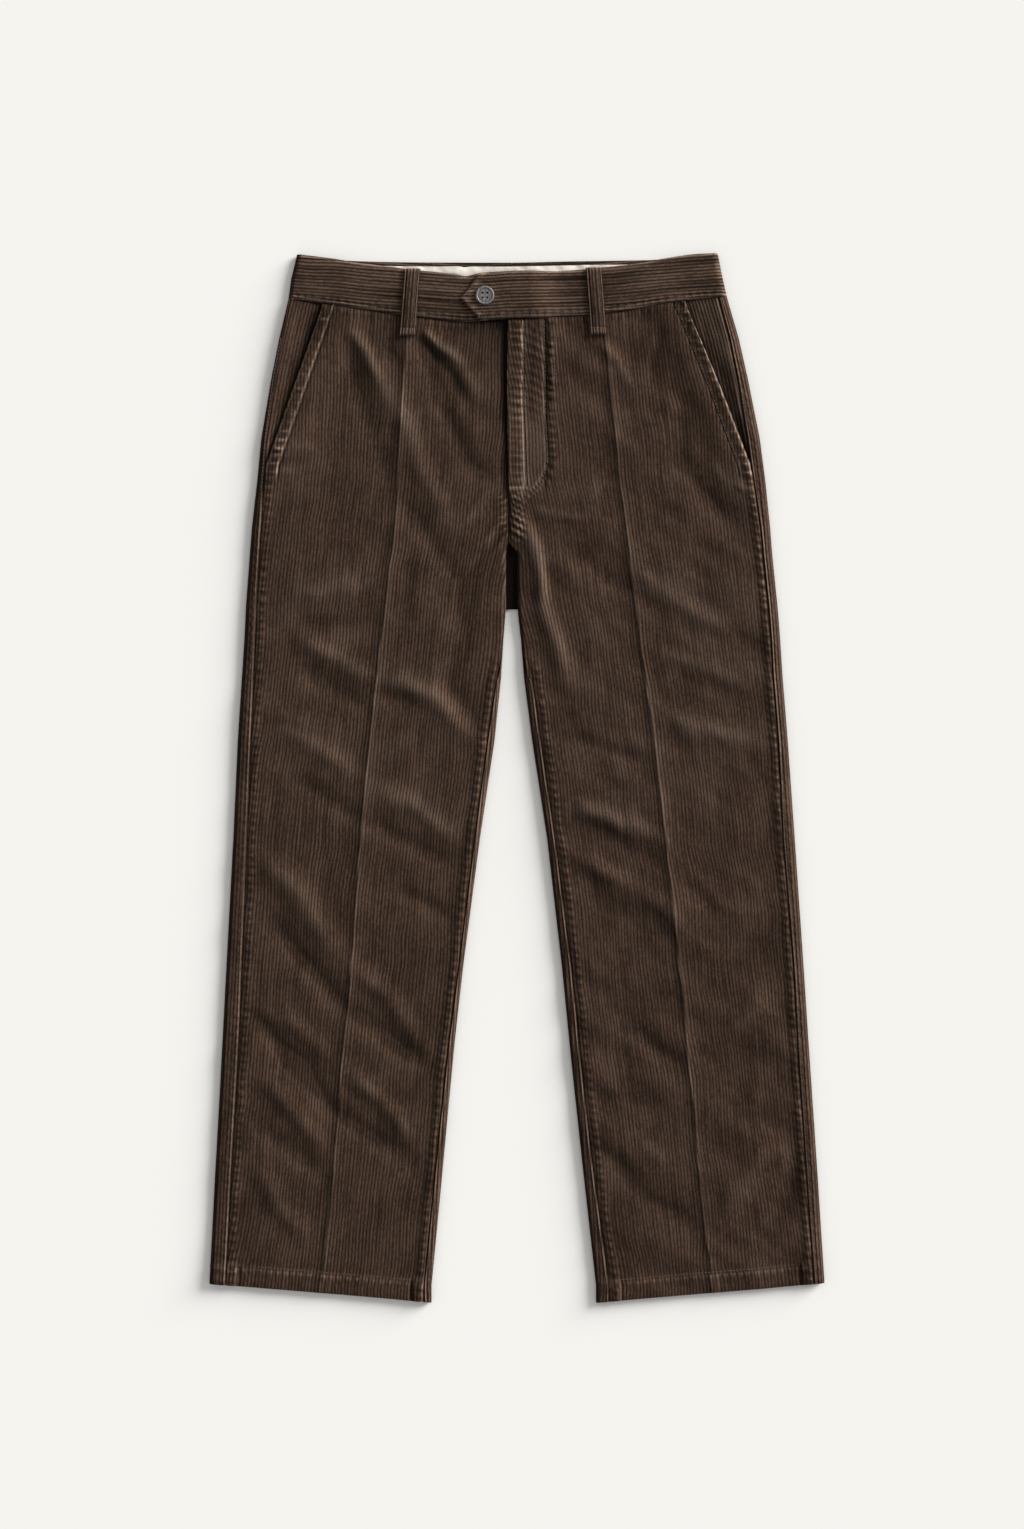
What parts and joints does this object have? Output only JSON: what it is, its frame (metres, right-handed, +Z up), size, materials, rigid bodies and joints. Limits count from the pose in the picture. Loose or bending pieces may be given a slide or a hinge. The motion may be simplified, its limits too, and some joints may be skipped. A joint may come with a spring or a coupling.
{
  "type": "corduroy trousers laid flat",
  "caption": "Straight-leg corduroy trousers laid flat, with slant pockets, belt loops and a pointed waistband tab.",
  "frame": {"origin": "on the surface it lies on, under the middle of the outline", "axes": "+Y from the hems to the waist, +X to the wearer's left, +Z up through the layers"},
  "size_m": [0.6151, 1.0498, 0.0139],
  "materials": {
    "corduroy": "brown cotton corduroy, soft nap",
    "lining": "cream cotton twill",
    "button": "grey, satin"
  },
  "bodies": {
    "root": {"front_right": "corduroy", "front_left": "corduroy", "back_right": "corduroy", "back_left": "corduroy", "pocket_facing_right": "corduroy", "pocket_facing_left": "corduroy", "fly_underlap": "corduroy", "waistband_right": "corduroy", "waistband_left": "corduroy", "waistband_lining": "lining", "belt_loop_right": "corduroy", "belt_loop_left": "corduroy", "button": "button"}
  },
  "joints": []
}
